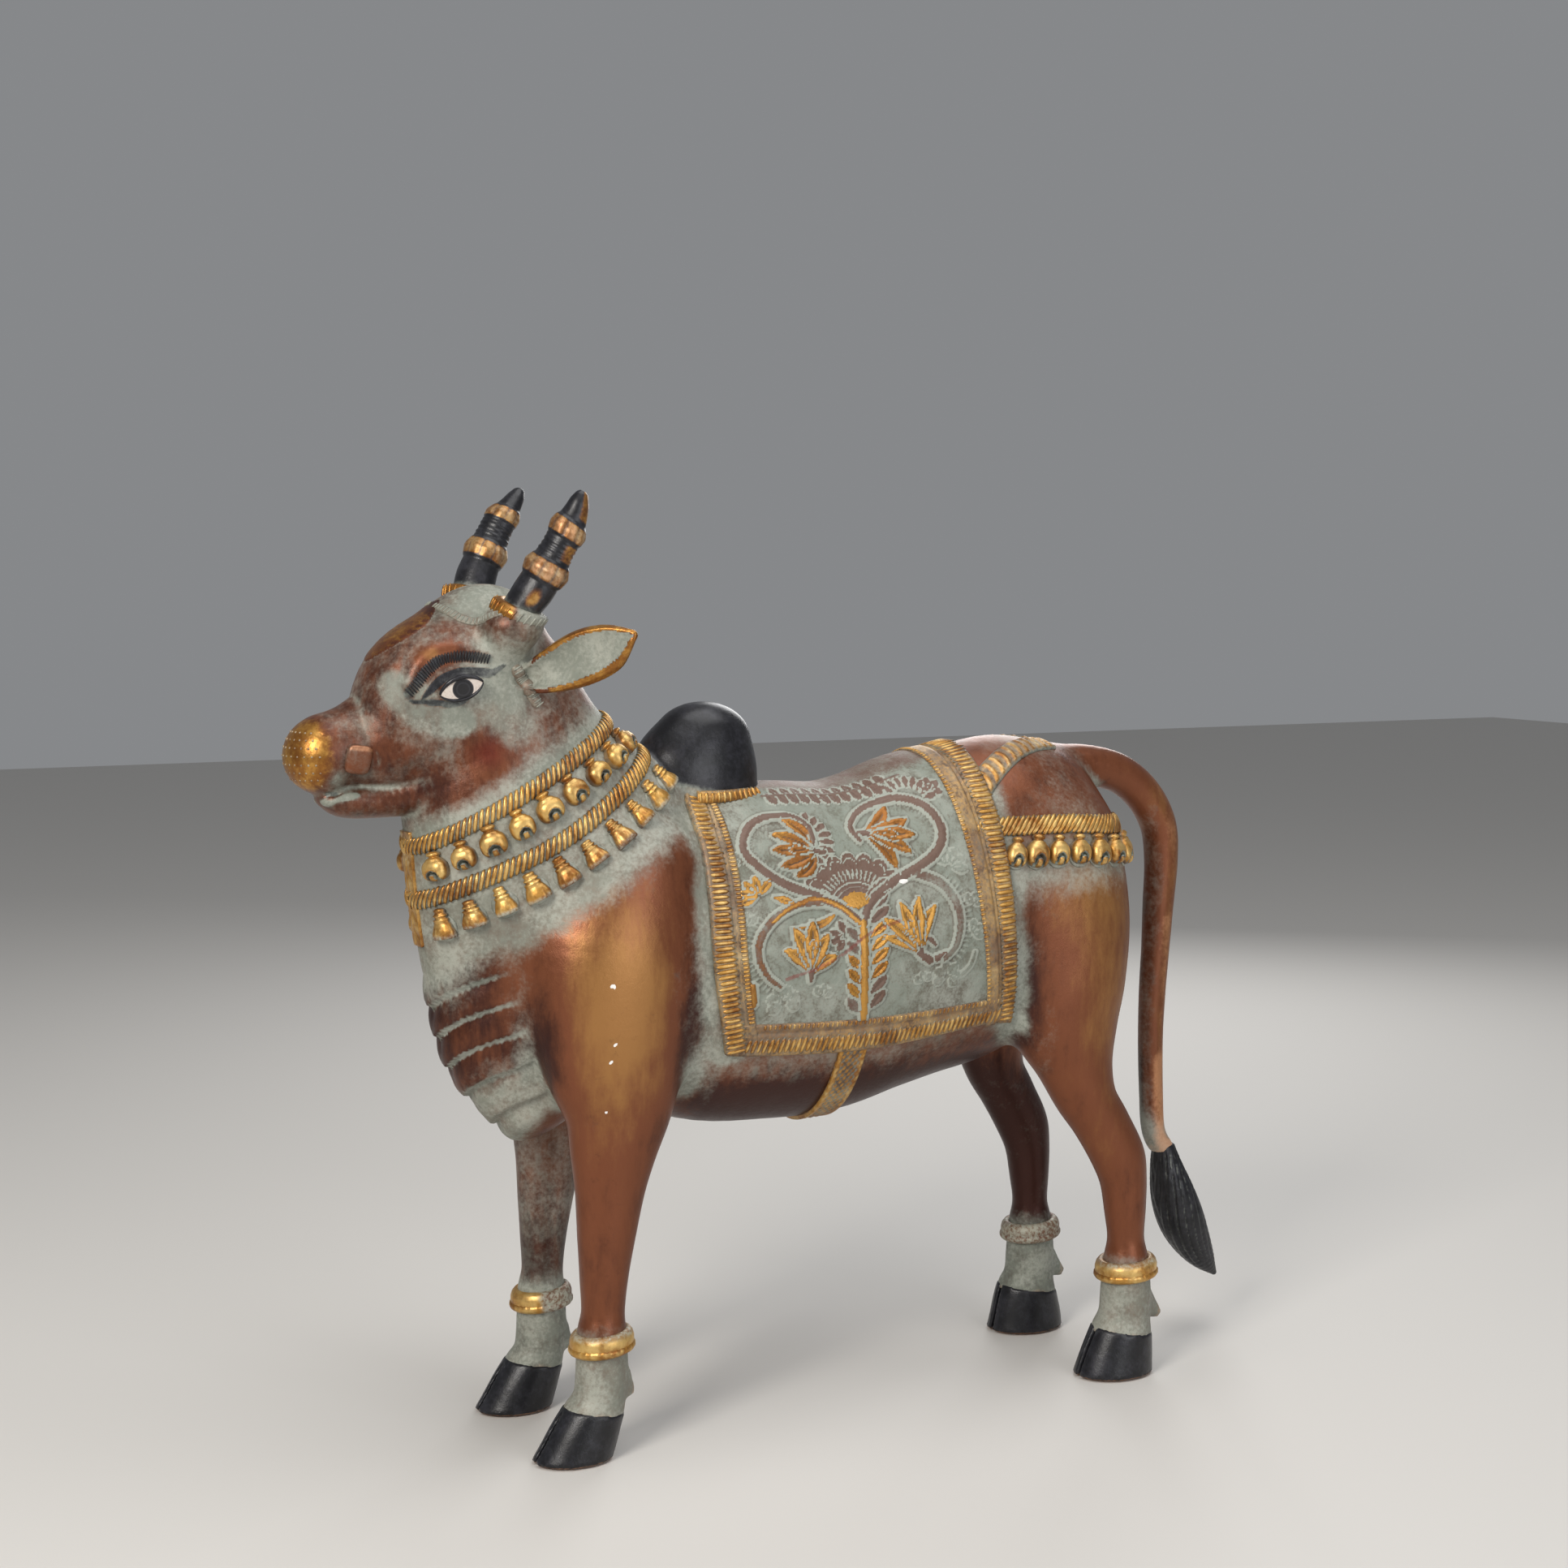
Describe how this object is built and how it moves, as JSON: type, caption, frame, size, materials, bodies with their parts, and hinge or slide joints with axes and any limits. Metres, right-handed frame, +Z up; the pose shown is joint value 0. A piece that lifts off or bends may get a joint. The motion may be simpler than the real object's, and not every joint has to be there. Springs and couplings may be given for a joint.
{
  "type": "standing nandi bull statue",
  "caption": "Standing humped bull cast in metal, with necklaces of bells, a vine-carved saddle cloth, girth and breeching bands, ringed horns and a long hanging tail.",
  "frame": {"origin": "centre of the bounding box in plan, at the plane of the four hoof soles", "axes": "+Z up, the head faces -Y, the bull's left side is +X"},
  "size_m": [0.2008, 0.7502, 0.6614],
  "materials": {
    "bronze": "satin copper-brown patina over cast brass, pale green in the recesses and gold on the ornaments"
  },
  "bodies": {
    "root": {"nandi_bull": "bronze"}
  },
  "joints": []
}
